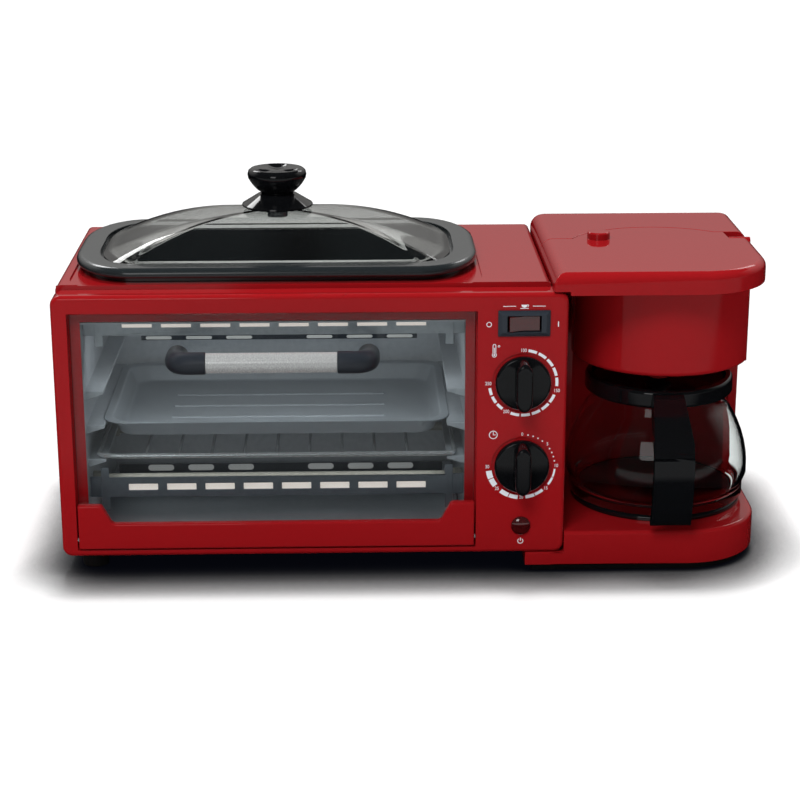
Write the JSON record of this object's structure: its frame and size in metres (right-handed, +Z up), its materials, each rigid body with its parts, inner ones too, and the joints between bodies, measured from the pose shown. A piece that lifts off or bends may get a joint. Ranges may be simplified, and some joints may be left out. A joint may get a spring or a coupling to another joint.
{
  "type": "breakfast maker",
  "caption": "Countertop breakfast maker: a toaster oven with a hinged glass door, a lidded griddle pan on its roof and a drip coffee maker with a glass carafe at its side.",
  "frame": {"origin": "middle of the bounding box of the whole appliance, on the surface that it stands on", "axes": "+X to the viewer's right across the front, +Y from the door towards the rear, +Z up"},
  "size_m": [0.4782, 0.2394, 0.2616],
  "materials": {
    "gloss_red": "high-gloss moulded red",
    "red_enamel": "gloss red enamel on steel sheet",
    "cavity_steel": "satin aluminised steel sheet",
    "zinc_plate": "zinc-plated steel",
    "cast_aluminium": "as cast",
    "bright_steel": "polished steel",
    "dark_coated_steel": "dark grey non-stick coat",
    "griddle_coating": "glossy black non-stick coat",
    "black_gloss": "glossy black phenolic",
    "black_matte": "fine-grained black",
    "soft_touch_grey": "soft-touch dark blue-grey",
    "black_rubber": "matt rubber",
    "silicone": "milky silicone",
    "heater_tube": "milky quartz tube",
    "smoked_glass": "dark tempered glass",
    "clear_glass": "clear tempered glass",
    "tank_plastic": "translucent moulding",
    "red_lens": "translucent dark red lens"
  },
  "bodies": {
    "appliance": {"oven_casing": "red_enamel", "rear_cover": "red_enamel", "cord_gland": "black_rubber", "base_pan": "zinc_plate", "foot_left_front": "black_rubber", "foot_left_rear": "black_rubber", "front_frame": "gloss_red", "cavity_wall_left": "cavity_steel", "cavity_wall_right": "cavity_steel", "cavity_back": "cavity_steel", "cavity_ceiling": "cavity_steel", "crumb_tray": "cavity_steel", "upper_heater_guard": "cavity_steel", "lower_heater_guard": "cavity_steel", "heater_lower_front": "heater_tube", "heater_lower_rear": "heater_tube", "heater_upper_front": "heater_tube", "heater_upper_rear": "heater_tube", "thermostat": "zinc_plate", "timer_clockwork": "zinc_plate", "switch_frame": "black_matte", "switch_body": "black_matte", "power_lamp": "red_lens", "coffee_base": "gloss_red", "coffee_plinth": "black_matte", "hot_plate": "dark_coated_steel", "hot_plate_ring": "black_gloss", "flow_heater": "cast_aluminium", "coffee_column": "gloss_red", "water_tank": "tank_plastic", "riser_tube": "silicone"},
    "door": {"door_glass": "clear_glass", "hinge_pin_left": "bright_steel", "hinge_pin_right": "bright_steel", "door_rail": "gloss_red", "handle_elbow_left": "soft_touch_grey", "handle_elbow_right": "soft_touch_grey", "handle_tube": "bright_steel"},
    "rack": {"wire_rack": "bright_steel"},
    "tray": {"baking_tray": "dark_coated_steel"},
    "pan": {"griddle_pan": "griddle_coating"},
    "griddle_lid": {"lid_glass": "smoked_glass", "lid_knob_skirt": "black_gloss", "lid_knob": "black_gloss", "lid_screw": "bright_steel"},
    "temperature_control": {"temperature_knob": "black_gloss"},
    "timer_control": {"timer_knob": "black_gloss"},
    "rocker": {"switch_rocker": "red_lens"},
    "tank_cover": {"tank_lid": "gloss_red", "tank_lid_pin": "bright_steel"},
    "brew_head": {"brew_cover": "gloss_red", "brew_drum": "gloss_red", "brew_hinge_pin": "gloss_red", "filter_basket": "black_matte", "valve_spring": "bright_steel"},
    "valve": {"drip_valve": "black_matte"},
    "carafe": {"carafe_glass": "clear_glass", "carafe_collar": "black_gloss", "carafe_lid": "black_gloss", "carafe_handle": "black_gloss"}
  },
  "joints": [
    {"name": "door_hinge", "type": "hinge", "parent": "appliance", "child": "door", "pos_m": [-0.06905, -0.07937, 0.027], "axis": [1, 0, 0], "range_deg": [0, 80]},
    {"name": "rack_slide", "type": "slide", "parent": "appliance", "child": "rack", "axis": [0, -1, 0], "range_m": [0, 0.063]},
    {"name": "tray_slide", "type": "slide", "parent": "appliance", "child": "tray", "axis": [0, -1, 0], "range_m": [0, 0.063]},
    {"name": "pan_lift", "type": "slide", "parent": "appliance", "child": "pan", "axis": [0, 0, 1], "range_m": [0, 0.06]},
    {"name": "griddle_lid_lift", "type": "slide", "parent": "pan", "child": "griddle_lid", "axis": [0, 0, 1], "range_m": [0, 0.06]},
    {"name": "temperature_turn", "type": "hinge", "parent": "appliance", "child": "temperature_control", "pos_m": [0.07155, -0.08637, 0.1358], "axis": [0, 1, 0], "range_deg": [0, 270]},
    {"name": "timer_turn", "type": "hinge", "parent": "appliance", "child": "timer_control", "pos_m": [0.07155, -0.08637, 0.0774], "axis": [0, 1, 0], "range_deg": [0, 270]},
    {"name": "switch_rock", "type": "hinge", "parent": "appliance", "child": "rocker", "pos_m": [0.07155, -0.08137, 0.1769], "axis": [0, 0, 1], "range_deg": [-19.5, 0]},
    {"name": "tank_lid_hinge", "type": "hinge", "parent": "appliance", "child": "tank_cover", "pos_m": [0.17395, 0.10773, 0.1976], "axis": [-1, 0, 0], "range_deg": [0, 85]},
    {"name": "brew_head_swing", "type": "hinge", "parent": "appliance", "child": "brew_head", "pos_m": [0.23045, 0.02363, 0.165], "axis": [0, 0, 1], "range_deg": [0, 95]},
    {"name": "drip_valve_rise", "type": "slide", "parent": "brew_head", "child": "valve", "axis": [0, 0, 1], "range_m": [0, 0.003], "stiffness_N_per_m": 60, "springref_m": -0.005, "deforming": ["valve_spring"]},
    {"name": "carafe_pull", "type": "slide", "parent": "appliance", "child": "carafe", "axis": [0, -1, 0], "range_m": [0, 0.15]}
  ],
  "couplings": [
    {"joint": "rack_slide", "follows": "door_hinge", "m_per_rad": 0.045},
    {"joint": "tray_slide", "follows": "door_hinge", "m_per_rad": 0.045}
  ]
}
